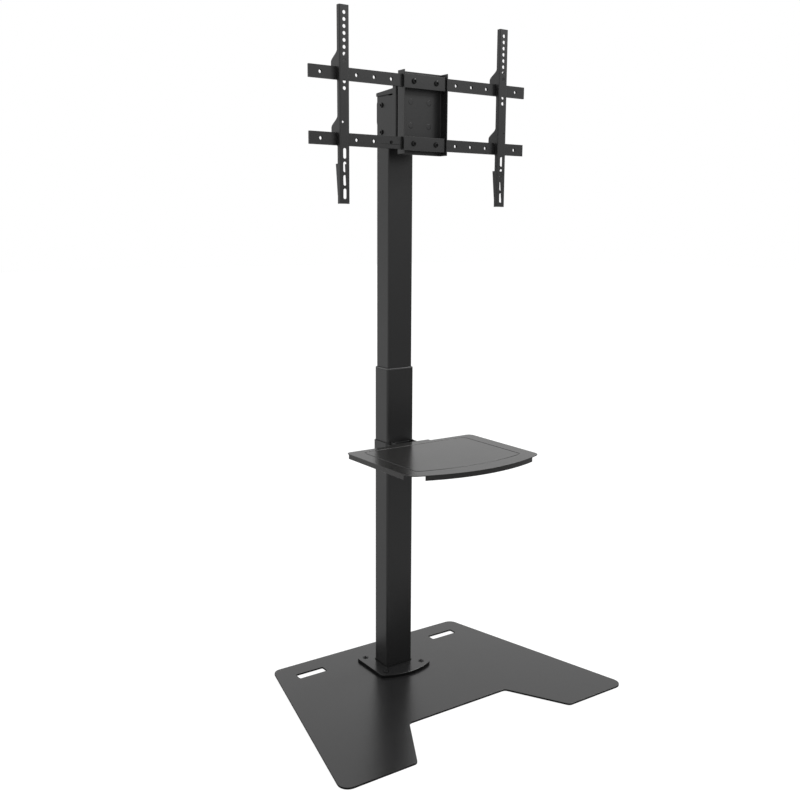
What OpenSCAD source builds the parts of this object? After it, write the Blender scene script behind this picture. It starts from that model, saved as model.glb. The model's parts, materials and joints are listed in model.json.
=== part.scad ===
// Floor stand for a flat screen: weighted base plate, two-stage rectangular column,
// equipment shelf, and a screen mount of two rails with two hook-on arms.
// Millimetres, +Z up, the screen side faces -Y. The origin is on the floor, in the middle of the base.

/* [Base plate] */
// Depth of the base plate, front to back
base_depth = 612; // [500:1:700]
// Width across the front wings
base_front_w = 918; // [760:1:1000]
// Width of the back edge
base_back_w = 636; // [500:1:740]
// Thickness of the base plate
base_t = 5; // [4:0.5:8]
// Depth of the notch in the front edge
notch_depth = 161; // [100:1:190]
// Width of the notch at its inner edge
notch_w = 320; // [260:1:400]
// Width of the notch at its mouth
notch_mouth_w = 498; // [410:1:560]
// Corner radius of the outer corners
base_corner_r = 26; // [10:1:40]
// Corner radius of the notch
notch_r = 14; // [6:1:24]
// Length of each hand slot
hand_slot_w = 87; // [76:1:110]
// Width of each hand slot
hand_slot_d = 27; // [22:1:34]
// Hand slot centre, from the middle of the base
hand_slot_x = 231.5; // [200:0.5:250]
// Hand slot centre, from the back edge
hand_slot_inset = 69; // [50:1:90]
// Thickness of the floor pads
pad_t = 1.5; // [1:0.5:4]
// Radius of the floor pads
pad_r = 13; // [8:1:16]

/* [Foot flange] */
// Width of the foot flange
foot_w = 168; // [150:1:200]
// Foot flange behind the column axis
foot_back = 66; // [60:1:90]
// Foot flange in front of the column axis, at its sides
foot_shoulder = 68; // [62:1:90]
// Foot flange in front of the column axis, at the middle of its bow
foot_bow = 92; // [84:1:120]
// Thickness of the foot flange
foot_t = 8; // [4:0.5:10]
// Foot screw spacing across
foot_screw_dx = 122; // [116:1:140]
// Foot screw spacing front to back
foot_screw_dy = 108; // [96:1:112]

/* [Lower column] */
// Column axis, from the back edge of the base
column_inset = 141; // [120:1:180]
// Width of the lower column
lower_w = 86; // [76:1:96]
// Depth of the lower column
lower_d = 66; // [58:1:76]
// Wall of the lower column
lower_wall = 2; // [1.5:0.1:2.5]
// Corner radius of the lower column
lower_r = 8; // [6:0.5:10]
// Height of the top of the guide collar above the floor
lower_top = 876; // [860:1:960]
// Height of the lip of the guide collar
lip_h = 4; // [3:0.5:6]
// Length of the guide collar inside the lower column
guide_len = 60; // [40:1:90]

/* [Upper column] */
// Height of the top of the upper column above the floor
upper_top = 1588; // [1540:1:1640]
// Length of the upper column
upper_len = 1000; // [960:1:1060]
// Wall of the upper column
upper_wall = 2; // [1.5:0.1:3]
// Space for a guide bush between the two columns
bush_t = 1.7; // [1.4:0.1:3]
// Length of the bush at the foot of the upper column
glide_len = 70; // [40:1:90]

/* [Shelf] */
// Height of the shelf's top face above the floor
shelf_top = 675; // [620:1:690]
// Width of the shelf
shelf_w = 414; // [360:1:460]
// Back edge of the shelf, from the column axis
shelf_back = 81; // [77:1:100]
// Front corners of the shelf, from the column axis
shelf_shoulder = 367; // [320:1:390]
// Middle of the bowed front edge, from the column axis
shelf_bow = 414; // [400:1:440]
// Thickness of the shelf sheet
shelf_t = 2; // [1.5:0.1:3]
// Height of the turned-down rims, sheet included
rim_h = 13; // [9:0.5:20]
// Radius of the shelf's front corners
shelf_front_r = 26; // [12:1:34]
// Radius of the shelf's back corners
shelf_back_r = 15; // [6:1:24]
// Width of the tongue at the back edge
tongue_w = 134; // [124:1:160]
// Back edge of the tongue, from the column axis
tongue_back = 70; // [66:1:76]
// Half width of the ring groove
groove_half_w = 167; // [120:1:176]
// Back line of the ring groove, from the column axis
groove_back = 104; // [102:1:140]
// Front corners of the ring groove, from the column axis
groove_shoulder = 340; // [280:1:348]
// Middle of the ring groove's bowed front line, from the column axis
groove_bow = 365; // [350:1:390]
// Width of the ring groove
groove_w = 3; // [2:0.5:5]
// Depth of the ring groove
groove_d = 0.8; // [0.4:0.1:1]

/* [Shelf bracket] */
// Sheet of the sliding collar and of the shelf arms
collar_t = 3; // [2:0.5:4]
// Height of the sliding collar
collar_h = 42; // [30:1:60]
// Length of the shelf arms, from the column axis
arm_reach = 300; // [240:1:340]
// Height of the shelf arms at their front end
arm_tip_h = 12; // [8:1:20]
// Width of the turned-out seats of the shelf arms
seat_w = 20; // [17:1:26]

/* [Screen mount] */
// Centre of the mount below the top of the upper column
mount_drop = 54.25; // [44:0.25:60]
// Distance between the two rails
rail_pitch = 150; // [140:1:160]
// Length of the rails
rail_len = 662; // [620:1:720]
// Height of the rails
rail_h = 30; // [26:1:34]
// Thickness of the rails
rail_t = 6; // [4:0.5:8]
// Front face of the rails, from the column axis
rail_front = 132; // [128:1:150]
// Pitch of the rail holes
rail_hole_pitch = 50; // [40:1:54]
// Radius of the rail holes
rail_hole_r = 4.25; // [3:0.25:5]
// Width of the mount frame
frame_w = 135; // [126:1:150]
// Mount frame above the top strap, and below the bottom one
frame_lip = 8.5; // [7:0.5:18]
// Depth of the mount frame
frame_d = 30; // [28:1:40]
// Sheet of the mount frame
frame_t = 2.5; // [2:0.1:3.5]
// Mount frame in front of the rails
frame_lead = 7.5; // [5:0.5:9]
// Width of the clamp straps
strap_w = 125; // [112:1:128]
// Height of the clamp straps
strap_h = 34; // [28:1:38]
// Thickness of the clamp straps
strap_t = 3; // [2:0.5:4]
// Distance between the two bolts of a strap
strap_bolt_dx = 69; // [60:1:90]

/* [Screen arms] */
// Length of the arms
arm_len = 453; // [430:1:480]
// Width of the arms
arm_w = 27; // [22:0.5:32]
// Sheet of the arms
arm_t = 2; // [1.5:0.1:2.5]
// Arm centre line, from the middle of the stand
arm_x = 243.6; // [210:0.1:260]
// Depth of the turned-back sides of the arms
arm_side_d = 12; // [9:0.5:14]
// Front face of the arms in front of the rails
arm_stand_off = 15; // [12:0.5:20]
// Depth of the hooks behind the front face of the rails
hook_reach = 24.7; // [18:0.1:30]
// Radius of the round arm holes
arm_hole_r = 4.25; // [3:0.25:5]
// Pitch of the round arm holes
arm_hole_pitch = 15.4; // [14:0.1:16]
// Number of round holes in an arm
arm_hole_n = 12; // [8:1:12]
// First round hole below the top of the arm
arm_hole_inset = 17; // [12:0.5:20]
// Pitch of the arm slots
slot_pitch = 31.4; // [29:0.1:32]
// Number of slots in an arm
slot_n = 4; // [2:1:4]
// Length of the arm slots
slot_len = 24.6; // [16:0.1:26]
// Last slot centre above the bottom of the arm
slot_inset = 23.5; // [18:0.5:26]

/* [Column head] */
// Sheet of the head bracket and of the head channel
head_t = 2.5; // [2:0.1:3.5]
// Height of the head bracket
head_h = 108; // [96:1:112]
// Head bracket behind the column axis
head_back = 24; // [16:1:26]
// Width of the head channel
channel_w = 120; // [110:1:130]
// Head channel above the middle of the top rail, and below that of the bottom one
channel_lead = 4; // [0:0.5:10]
// Depth of the head channel's turned-back sides
channel_d = 16; // [10:1:20]
// Length of the spacers between the head channel and the mount frame
spacer_len = 16.5; // [12:0.5:22]
// Spacer spacing across
spacer_dx = 56; // [44:1:60]
// Spacer spacing in height
spacer_dz = 58; // [50:1:64]
// Distance between the two side screws of the head
head_screw_dz = 68; // [60:1:78]
// Upper side screws below the top of the column
head_screw_drop = 24; // [16:1:28]
// Height of the head cap at its back
cap_back_h = 8; // [5:0.5:12]
// Height of the head cap at its front
cap_front_h = 15.5; // [13:0.5:22]

/* [Hidden] */
$fn = 48;

// Clearances: running fits, seats between moving pieces, bolt holes, and the overrun of cuts
run_gap = 0.3;
bolt_gap = 0.2;
over = 1;
// Steps of a rounded corner and of a bowed edge
corner_n = 6;
bow_n = 20;

// Levels above the floor
plate_top = pad_t + base_t;
foot_top = plate_top + foot_t;
tube_top = lower_top - lip_h;
mount_z = upper_top - mount_drop;
top_rail_z = mount_z + rail_pitch / 2;
bottom_rail_z = mount_z - rail_pitch / 2;
frame_h = rail_pitch + strap_h + 2 * frame_lip;
channel_h = rail_pitch + 2 * channel_lead;

// The column axis in the part's frame
column_y = base_depth / 2 - column_inset;

// The upper column runs inside the lower one with a bush between them
bore_w = lower_w - 2 * lower_wall;
bore_d = lower_d - 2 * lower_wall;
upper_w = bore_w - 2 * (bush_t + run_gap);
upper_d = bore_d - 2 * (bush_t + run_gap);
upper_r = lower_r - lower_wall - bush_t + run_gap;

// Planes of the screen mount, all as distances in front of the column axis
rail_back = rail_front - rail_t;
strap_front = rail_front + strap_t;
frame_front = rail_front + frame_lead;
frame_back = frame_front - frame_d;
web_front = frame_back + frame_t;
arm_front = rail_front + arm_stand_off;
arm_heel = rail_front + run_gap;
hook_back = rail_front - hook_reach;
arm_side_back = arm_front - arm_side_d;
channel_front = frame_back - spacer_len;
channel_seat = channel_front - head_t;

// The sliding collar of the shelf
collar_w = lower_w + 2 * (run_gap + collar_t);
collar_d = lower_d + 2 * (run_gap + collar_t);
seat_z = shelf_top - shelf_t;
collar_top = seat_z - collar_t;

// The head bracket
head_w = upper_w + 2 * (bolt_gap + head_t);
head_screw_z = upper_top - head_screw_drop;

// Fasteners: M8 through the mount, M6 in the foot, the head and the shelf
m8_r = 4;
m8_head_r = 6.6;
m8_head_h = 4.4;
m8_nut_r = 7.4;
m8_nut_h = 6.5;
m6_r = 3;
m6_head_r = 5.4;
m6_head_h = 3.3;
m6_hex_r = 2.3;
m8_hex_r = 2.9;
hex_depth = 2;
spacer_r = 7;
crown_share = 0.75;

// Rounds the corner at b of the path a, b, c by an arc of radius r
function unit(v) = v / norm(v);
function fillet(a, b, c, r) = r == 0 ? [b] :
    let (
        u = unit(a - b),
        w = unit(c - b),
        half = acos(u * w) / 2,
        centre = b + unit(u + w) * r / sin(half),
        first = b + u * r / tan(half) - centre,
        last = b + w * r / tan(half) - centre,
        from = atan2(first.y, first.x),
        turn = (atan2(last.y, last.x) - from + 540) % 360 - 180
    )
    [for (i = [0 : corner_n])
        centre + r * [cos(from + turn * i / corner_n), sin(from + turn * i / corner_n)]];

// Rounds every corner of an outline by its own radius
function rounded(points, radii) =
    let (n = len(points))
    [for (i = [0 : n - 1]) each fillet(points[(i + n - 1) % n], points[i], points[(i + 1) % n], radii[i])];

// Straight sides and back with a bowed front edge; back, shoulder and bow are distances to -Y
function bow_line(half_w, shoulder, bow) =
    let (
        rise = bow - shoulder,
        radius = (half_w * half_w + rise * rise) / (2 * rise),
        reach = asin(half_w / radius)
    )
    [for (i = [0 : bow_n])
        let (t = reach * (2 * i / bow_n - 1)) [radius * sin(t), radius * (1 - cos(t)) - bow]];
function bowed(half_w, back, shoulder, bow, back_r, front_r) =
    rounded(
        concat([[half_w, -back], [-half_w, -back]], bow_line(half_w, shoulder, bow)),
        concat([back_r, back_r, front_r], [for (i = [2 : bow_n]) 0], [front_r])
    );

// A rectangle with round corners, and the tube made from it
module rounded_rect(w, d, r) {
    square([w - 2 * r, d], center = true);
    square([w, d - 2 * r], center = true);
    for (x = [-1, 1], y = [-1, 1])
        translate([x * (w / 2 - r), y * (d / 2 - r)]) circle(r);
}
module tube(w, d, r, wall, h) {
    linear_extrude(h) difference() {
        rounded_rect(w, d, r);
        rounded_rect(w - 2 * wall, d - 2 * wall, r - wall);
    }
}

// Places a child on the column axis
module on_column() { translate([0, column_y, 0]) children(); }

// Points a child that stands along +Z towards the screen (-Y), the back (+Y) or a side
module facing_front() { rotate([90, 0, 0]) children(); }
module facing_back() { rotate([-90, 0, 0]) children(); }
module facing_side(side) { rotate([0, 90 * side, 0]) children(); }

// A button head with a hexagon socket on a plain shank; the head stands on z = 0
module button_screw(r, head_r, head_h, hex_r, shank) {
    difference() {
        union() {
            cylinder(r1 = head_r, r2 = head_r * crown_share, h = head_h);
            translate([0, 0, -shank]) cylinder(r = r, h = shank);
        }
        translate([0, 0, head_h - hex_depth]) cylinder(r = hex_r, h = hex_depth + over, $fn = 6);
    }
}

// A hexagon nut with a through hole, standing on z = 0
module hex_nut(r, nut_r, h) {
    difference() {
        cylinder(r = nut_r, h = h, $fn = 6);
        translate([0, 0, -over]) cylinder(r = r + bolt_gap, h = h + 2 * over);
    }
}

// A slot of given length and radius, cut along +Z from z = 0
module slot_cut(length, r, h) {
    for (x = [-1, 1]) translate([x * (length / 2 - r), 0, 0]) cylinder(r = r, h = h);
    translate([r - length / 2, -r, 0]) cube([length - 2 * r, 2 * r, h]);
}

// Base plate: a wide front with two wings round a notch, and two hand slots at the back
function base_outline() =
    let (back = base_depth / 2, front = -base_depth / 2)
    rounded(
        [
            [base_back_w / 2, back], [-base_back_w / 2, back],
            [-base_front_w / 2, front], [-notch_mouth_w / 2, front],
            [-notch_w / 2, front + notch_depth], [notch_w / 2, front + notch_depth],
            [notch_mouth_w / 2, front], [base_front_w / 2, front]
        ],
        [base_corner_r, base_corner_r, base_corner_r, notch_r, notch_r, notch_r, notch_r, base_corner_r]
    );
hand_slot_r = 4;
module base_plate() {
    color([0.13, 0.13, 0.13])
    difference() {
        translate([0, 0, pad_t]) linear_extrude(base_t) polygon(base_outline());
        for (x = [-1, 1])
            translate([x * hand_slot_x, base_depth / 2 - hand_slot_inset, pad_t - over])
                linear_extrude(base_t + 2 * over) rounded_rect(hand_slot_w, hand_slot_d, hand_slot_r);
        on_column() for (p = foot_screw_places())
            translate([p.x, p.y, pad_t - over]) cylinder(r = m6_r + bolt_gap, h = base_t + 2 * over);
    }
}

// Floor pads near the corners of the base and beside the notch
pad_inset = 34;
wing_pad_x = (base_front_w + notch_mouth_w) / 4;
module floor_pads() {
    color([0.06, 0.06, 0.06])
    for (side = [-1, 1]) {
        translate([side * (base_back_w / 2 - pad_inset), base_depth / 2 - pad_inset])
            cylinder(r = pad_r, h = pad_t);
        translate([side * wing_pad_x, pad_inset - base_depth / 2]) cylinder(r = pad_r, h = pad_t);
        translate([side * (notch_w / 2 + pad_inset), column_y - column_inset])
            cylinder(r = pad_r, h = pad_t);
    }
}

// Foot flange under the column, straight at the back and bowed at the front
foot_back_r = 10;
foot_front_r = 14;
function foot_screw_places() =
    [for (x = [-1, 1], y = [-1, 1]) [x * foot_screw_dx / 2, y * foot_screw_dy / 2]];
module foot_flange() {
    color([0.12, 0.12, 0.12])
    on_column() translate([0, 0, plate_top]) difference() {
        linear_extrude(foot_t)
            polygon(bowed(foot_w / 2, -foot_back, foot_shoulder, foot_bow, foot_back_r, foot_front_r));
        for (p = foot_screw_places())
            translate([p.x, p.y, -over]) cylinder(r = m6_r + bolt_gap, h = foot_t + 2 * over);
    }
}
module foot_screws() {
    color([0.2, 0.2, 0.2])
    on_column() for (p = foot_screw_places())
        translate([p.x, p.y, foot_top]) button_screw(m6_r, m6_head_r, m6_head_h, m6_hex_r, foot_t + base_t);
}

// Lower column with two tapped holes for the height lock at its back
lock_dz = 30;
lock_z = tube_top - lock_dz / 2 - m8_head_r;
module lower_column() {
    color([0.14, 0.14, 0.14])
    on_column() difference() {
        translate([0, 0, foot_top]) tube(lower_w, lower_d, lower_r, lower_wall, tube_top - foot_top);
        for (z = [0, 1]) translate([0, 0, lock_z - z * lock_dz])
            facing_back() cylinder(r = m8_r + bolt_gap, h = lower_d);
    }
}

// Guide collar in the mouth of the lower column: a bush with a lip that covers the cut end
module guide_collar() {
    color([0.2, 0.2, 0.2])
    on_column() difference() {
        union() {
            translate([0, 0, tube_top]) tube(lower_w, lower_d, lower_r, lower_wall + bush_t, lip_h);
            translate([0, 0, tube_top - guide_len])
                tube(bore_w, bore_d, lower_r - lower_wall, bush_t, guide_len);
        }
        for (z = [0, 1]) translate([0, 0, lock_z - z * lock_dz])
            facing_back() cylinder(r = m8_r + bolt_gap, h = lower_d);
    }
}

// Lock screws that press on the back of the upper column
module height_lock_screws() {
    color([0.2, 0.2, 0.2])
    on_column() for (z = [0, 1])
        translate([0, lower_d / 2, lock_z - z * lock_dz])
            facing_back() button_screw(m8_r, m8_head_r, m8_head_h, m8_hex_r, lower_wall + bush_t);
}

// Upper column with four threaded side holes for the head
module upper_column() {
    color([0.14, 0.14, 0.14])
    on_column() difference() {
        translate([0, 0, upper_top - upper_len]) tube(upper_w, upper_d, upper_r, upper_wall, upper_len);
        head_screw_places() translate([0, 0, -head_w]) cylinder(r = m8_r + bolt_gap, h = head_w);
    }
}

// Bush on the foot of the upper column
module upper_glide() {
    glide_z = upper_top - upper_len;
    color([0.2, 0.2, 0.2])
    on_column() difference() {
        translate([0, 0, glide_z - upper_wall])
            linear_extrude(glide_len)
                rounded_rect(bore_w - 2 * run_gap, bore_d - 2 * run_gap, lower_r - lower_wall);
        translate([0, 0, glide_z]) linear_extrude(glide_len) rounded_rect(upper_w, upper_d, upper_r);
        translate([0, 0, glide_z - upper_wall - over]) linear_extrude(upper_wall + 2 * over)
            rounded_rect(upper_w - 4 * upper_wall, upper_d - 4 * upper_wall, upper_r - upper_wall);
    }
}

// Sliding collar that carries the shelf, with two lock screws at its back
shelf_lock_dz = 22;
collar_r = lower_r + run_gap + collar_t;
shelf_lock_z = collar_top - collar_h / 2 + shelf_lock_dz / 2;
module shelf_collar() {
    color([0.14, 0.14, 0.14])
    on_column() difference() {
        translate([0, 0, collar_top - collar_h]) tube(collar_w, collar_d, collar_r, collar_t, collar_h);
        for (z = [0, 1]) translate([0, 0, shelf_lock_z - z * shelf_lock_dz])
            facing_back() cylinder(r = m8_r + bolt_gap, h = collar_d);
    }
}
module shelf_lock_screws() {
    color([0.2, 0.2, 0.2])
    on_column() for (z = [0, 1])
        translate([0, collar_d / 2, shelf_lock_z - z * shelf_lock_dz])
            facing_back() button_screw(m8_r, m8_head_r, m8_head_h, m8_hex_r, collar_t);
}

// Shelf arms: two tapered sheets welded to the collar's front, each with a seat turned out on top
arm_gauge_x = collar_w / 2 - collar_r;
seat_screw_inset = 40;
seat_tip_inset = 30;
shelf_screw_back = shelf_back + seat_screw_inset;
shelf_screw_front = arm_reach - seat_tip_inset;
seat_mid = arm_gauge_x + seat_w / 2;
module shelf_arms() {
    root = collar_d / 2;
    color([0.14, 0.14, 0.14])
    on_column() for (side = [-1, 1]) {
        translate([side * (arm_gauge_x - collar_t / 2), 0, 0]) rotate([90, 0, -90])
            translate([0, 0, -collar_t / 2]) linear_extrude(collar_t) polygon([
                [root, collar_top - collar_h], [arm_reach, seat_z - arm_tip_h],
                [arm_reach, seat_z], [root, seat_z]
            ]);
        difference() {
            translate([side * seat_mid - seat_w / 2, -arm_reach, collar_top])
                cube([seat_w, arm_reach - tongue_back, collar_t]);
            for (y = [shelf_screw_back, shelf_screw_front])
                translate([side * seat_mid, -y, collar_top - over])
                    cylinder(r = m6_r + bolt_gap, h = collar_t + 2 * over);
        }
    }
}

// Shelf panel: a sheet with a bowed front, turned-down rims, a tongue at the back and a ring groove
rim_relief_back = 1;
rim_relief_front = 21;
rim_relief_side = 38;
side_rim_back = shelf_back + shelf_back_r + rim_relief_back;
side_rim_front = shelf_shoulder - rim_relief_front;
front_rim_half_w = shelf_w / 2 - rim_relief_side;
module shelf_panel() {
    half_w = shelf_w / 2;
    color([0.16, 0.16, 0.16])
    on_column() difference() {
        union() {
            translate([0, 0, seat_z]) linear_extrude(shelf_t) {
                polygon(bowed(half_w, shelf_back, shelf_shoulder, shelf_bow, shelf_back_r, shelf_front_r));
                translate([-tongue_w / 2, -shelf_back - groove_w])
                    square([tongue_w, shelf_back + groove_w - tongue_back]);
            }
            translate([0, 0, shelf_top - rim_h]) linear_extrude(rim_h - shelf_t) {
                for (side = [-1, 1])
                    translate([side * (half_w - shelf_t / 2) - shelf_t / 2, -side_rim_front])
                        square([shelf_t, side_rim_front - side_rim_back]);
                front_rim();
            }
        }
        translate([0, 0, shelf_top - groove_d]) linear_extrude(groove_d + over) difference() {
            groove_line(groove_w / 2);
            groove_line(-groove_w / 2);
        }
        shelf_screw_holes();
    }
}
module front_rim() {
    line = bow_line(shelf_w / 2, shelf_shoulder, shelf_bow);
    intersection() {
        polygon(concat(line, [for (i = [bow_n : -1 : 0]) line[i] + [0, shelf_t]]));
        translate([-front_rim_half_w, -shelf_bow]) square([2 * front_rim_half_w, shelf_bow - shelf_back]);
    }
}
groove_r = 14;
module groove_line(grow) {
    polygon(bowed(groove_half_w + grow, groove_back - grow, groove_shoulder + grow, groove_bow + grow,
        groove_r + grow, groove_r + grow));
}
module shelf_screw_holes() {
    for (side = [-1, 1], y = [shelf_screw_back, shelf_screw_front])
        translate([side * seat_mid, -y, seat_z - over])
            cylinder(r = m6_r + bolt_gap, h = shelf_t - groove_d + over);
}

// Screws that come up through the seats into the shelf sheet, short of its top face
module shelf_screws() {
    color([0.2, 0.2, 0.2])
    on_column() for (side = [-1, 1], y = [shelf_screw_back, shelf_screw_front])
        translate([side * seat_mid, -y, collar_top]) rotate([180, 0, 0])
            button_screw(m6_r, m6_head_r, m6_head_h, m6_hex_r, collar_t + shelf_t - groove_d);
}

// Runs a child at each side screw of the head, with +Z pointing out of the side
module head_screw_places() {
    for (side = [-1, 1], z = [0, 1])
        translate([side * head_w / 2, 0, head_screw_z - z * head_screw_dz]) facing_side(side) children();
}

// Runs a child at each bolt of the head channel, on the plane at distance y in front of the column axis
module head_bolt_places(y) {
    for (x = [-1, 1], z = [-1, 1])
        translate([x * spacer_dx / 2, -y, mount_z + z * spacer_dz / 2]) children();
}

// Head bracket: a sheet bent round the column top, open to the back. Its sides swell round their screws
// and stop short of the cap
cap_clear = 3.5;
swell_step = 7;
swell_r = 14;
function bracket_side() =
    let (
        top = upper_top - cap_clear,
        foot = upper_top - head_h,
        neck = head_back - swell_step,
        low = head_screw_z - head_screw_dz
    )
    rounded(
        [
            [channel_seat, foot], [channel_seat, top], [-neck, top], [-neck, top - cap_clear],
            [-head_back, head_screw_z + swell_step], [-head_back, low + 2 * swell_r],
            [-neck, low], [-neck, foot]
        ],
        [0, 0, cap_clear / 2, cap_clear / 2, swell_r, swell_r, swell_r, swell_step]
    );
module head_bracket() {
    color([0.14, 0.14, 0.14])
    on_column() difference() {
        rotate([90, 0, -90]) translate([0, 0, -head_w / 2]) linear_extrude(head_w) polygon(bracket_side());
        translate([head_t - head_w / 2, head_t - channel_seat, upper_top - head_h - over])
            cube([head_w - 2 * head_t, head_back + channel_seat, head_h + 2 * over]);
        head_screw_places() translate([0, 0, -head_t - over])
            cylinder(r = m8_r + bolt_gap, h = head_t + 2 * over);
        head_bolt_places(channel_seat + over) facing_back()
            cylinder(r = m8_r + bolt_gap, h = head_t + 2 * over);
    }
}

// A channel section seen from above: a web across the front and sides running back
module channel_section(w, d, t, r) {
    polygon(rounded(
        [[-w / 2, d], [-w / 2, 0], [w / 2, 0], [w / 2, d],
         [w / 2 - t, d], [w / 2 - t, t], [t - w / 2, t], [t - w / 2, d]],
        [0, r, r, 0, 0, r - t, r - t, 0]));
}
bend_share = 1.4;

// Head channel: stiffens the head and spreads the load of the mount
module head_channel() {
    color([0.14, 0.14, 0.14])
    on_column() difference() {
        translate([0, -channel_front, mount_z - channel_h / 2])
            linear_extrude(channel_h) channel_section(channel_w, channel_d, head_t, head_t * bend_share);
        head_bolt_places(channel_front + over) facing_back()
            cylinder(r = m8_r + bolt_gap, h = head_t + 2 * over);
    }
}

// Head cap: a wedge with round back corners that closes the column top, with a spigot in the tube
cap_overhang = 1.5;
cap_r = 9;
spigot_h = 14;
spigot_t = 2;
module head_cap() {
    w = head_w + 2 * cap_overhang;
    back = upper_d / 2 + cap_overhang;
    front = channel_seat - run_gap;
    color([0.15, 0.15, 0.15])
    on_column() {
        intersection() {
            translate([0, 0, upper_top]) rotate([90, 0, -90]) translate([0, 0, -w / 2]) linear_extrude(w)
                polygon([[-back, 0], [front, 0], [front, cap_front_h], [-back, cap_back_h]]);
            translate([0, 0, upper_top]) linear_extrude(cap_front_h)
                polygon(rounded([[w / 2, -front], [w / 2, back], [-w / 2, back], [-w / 2, -front]],
                    [0, cap_r, cap_r, 0]));
        }
        translate([0, 0, upper_top - spigot_h])
            tube(upper_w - 2 * (upper_wall + run_gap), upper_d - 2 * (upper_wall + run_gap),
                upper_r - upper_wall, spigot_t, spigot_h);
    }
}
module head_screws() {
    color([0.25, 0.25, 0.25])
    on_column() head_screw_places()
        button_screw(m8_r, m8_head_r, m8_head_h, m8_hex_r, head_t + bolt_gap + upper_wall);
}

// Spacers, bolts and nuts that hold the mount frame off the head channel
module head_spacers() {
    color([0.3, 0.3, 0.3])
    on_column() head_bolt_places(frame_back) facing_back() difference() {
        cylinder(r = spacer_r, h = spacer_len);
        translate([0, 0, -over]) cylinder(r = m8_r + bolt_gap, h = spacer_len + 2 * over);
    }
}
flat_head_h = 0.8;
module head_bolts() {
    color([0.2, 0.2, 0.2])
    on_column() head_bolt_places(web_front) facing_front() {
        cylinder(r1 = m8_nut_r, r2 = m8_nut_r * crown_share, h = flat_head_h);
        translate([0, 0, -(frame_t + spacer_len + 2 * head_t + m8_nut_h)])
            cylinder(r = m8_r, h = frame_t + spacer_len + 2 * head_t + m8_nut_h);
    }
}
module head_nuts() {
    color([0.3, 0.3, 0.3])
    on_column() head_bolt_places(channel_seat - head_t) facing_back() hex_nut(m8_r, m8_nut_r, m8_nut_h);
}

// Runs a child at each bolt of the straps, on the plane at distance y in front of the column axis
module strap_bolt_places(y, rails = [top_rail_z, bottom_rail_z]) {
    for (x = [-1, 1], z = rails) translate([x * strap_bolt_dx / 2, -y, z]) children();
}

// Mount frame: a channel with its sides forward and a window for each rail in each side
window_gap = 0.5;
module mount_frame() {
    color([0.15, 0.15, 0.15])
    on_column() difference() {
        translate([0, -frame_back, mount_z - frame_h / 2]) linear_extrude(frame_h) mirror([0, 1])
            channel_section(frame_w, frame_d, frame_t, frame_t * bend_share);
        for (z = [top_rail_z, bottom_rail_z])
            translate([-frame_w, -rail_front - window_gap, z - rail_h / 2 - window_gap])
                cube([2 * frame_w, rail_t + 2 * window_gap, rail_h + 2 * window_gap]);
        strap_bolt_places(web_front + over) facing_back()
            cylinder(r = m8_r + bolt_gap, h = frame_t + 2 * over);
        head_bolt_places(web_front + over) facing_back()
            cylinder(r = m8_r + bolt_gap, h = frame_t + 2 * over);
    }
}

// A rail: a flat bar with a row of holes on each side and two bolt holes in the middle
function rail_hole_places() =
    [for (side = [-1, 1], i = [2 : floor((rail_len / 2 - rail_h / 2) / rail_hole_pitch)])
        side * i * rail_hole_pitch];
module rail(z) {
    on_column() difference() {
        translate([-rail_len / 2, -rail_front, z - rail_h / 2]) cube([rail_len, rail_t, rail_h]);
        for (x = rail_hole_places())
            translate([x, -rail_front - over, z]) facing_back()
                cylinder(r = rail_hole_r, h = rail_t + 2 * over);
        strap_bolt_places(rail_front + over, [z]) facing_back()
            cylinder(r = m8_r + bolt_gap, h = rail_t + 2 * over);
    }
}
module top_rail() { color([0.17, 0.17, 0.17]) rail(top_rail_z); }
module bottom_rail() { color([0.17, 0.17, 0.17]) rail(bottom_rail_z); }

// A strap that clamps its rail against the spacers in the frame
module strap(z) {
    on_column() difference() {
        translate([-strap_w / 2, -strap_front, z - strap_h / 2]) cube([strap_w, strap_t, strap_h]);
        strap_bolt_places(strap_front + over, [z]) facing_back()
            cylinder(r = m8_r + bolt_gap, h = strap_t + 2 * over);
    }
}
module top_strap() { color([0.18, 0.18, 0.18]) strap(top_rail_z); }
module bottom_strap() { color([0.18, 0.18, 0.18]) strap(bottom_rail_z); }
module strap_bolts() {
    color([0.2, 0.2, 0.2])
    on_column() strap_bolt_places(strap_front) facing_front()
        button_screw(m8_r, m8_head_r, m8_head_h, m8_hex_r, strap_front - frame_back + m8_nut_h);
}
module strap_spacers() {
    color([0.3, 0.3, 0.3])
    on_column() strap_bolt_places(rail_back) facing_back() difference() {
        cylinder(r = spacer_r, h = rail_back - web_front);
        translate([0, 0, -over]) cylinder(r = m8_r + bolt_gap, h = rail_back - web_front + 2 * over);
    }
}
module strap_nuts() {
    color([0.3, 0.3, 0.3])
    on_column() strap_bolt_places(frame_back) facing_back() hex_nut(m8_r, m8_nut_r, m8_nut_h);
}

// A hook plate of an arm, drawn as depth in front of the column axis against height: it swells behind the
// rail in an S curve, drops behind it, keeps clear of it and bears on its front
hook_rise = 38;
hook_full_rise = 12;
hook_drop = 22;
hook_r = 4;
swell_n = 10;
function hook_outline(z) =
    let (
        rail_top = z + rail_h / 2,
        rail_foot = z - rail_h / 2,
        back = rail_back - run_gap,
        swell = [for (i = [0 : swell_n]) let (k = (1 - cos(180 * i / swell_n)) / 2)
            [arm_side_back + (hook_back - arm_side_back) * k,
             rail_top + hook_rise + (hook_full_rise - hook_rise) * i / swell_n]]
    )
    concat(
        swell,
        rounded(
            [[hook_back, rail_top], [hook_back, rail_top - hook_drop],
             [back, rail_top - hook_drop], [back, rail_top]],
            [0, hook_r, 0, 0]),
        [[back, rail_top + run_gap], [arm_heel, rail_top + run_gap], [arm_heel, rail_foot],
         [arm_side_back, rail_foot - (arm_side_back - arm_heel)]]
    );

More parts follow.
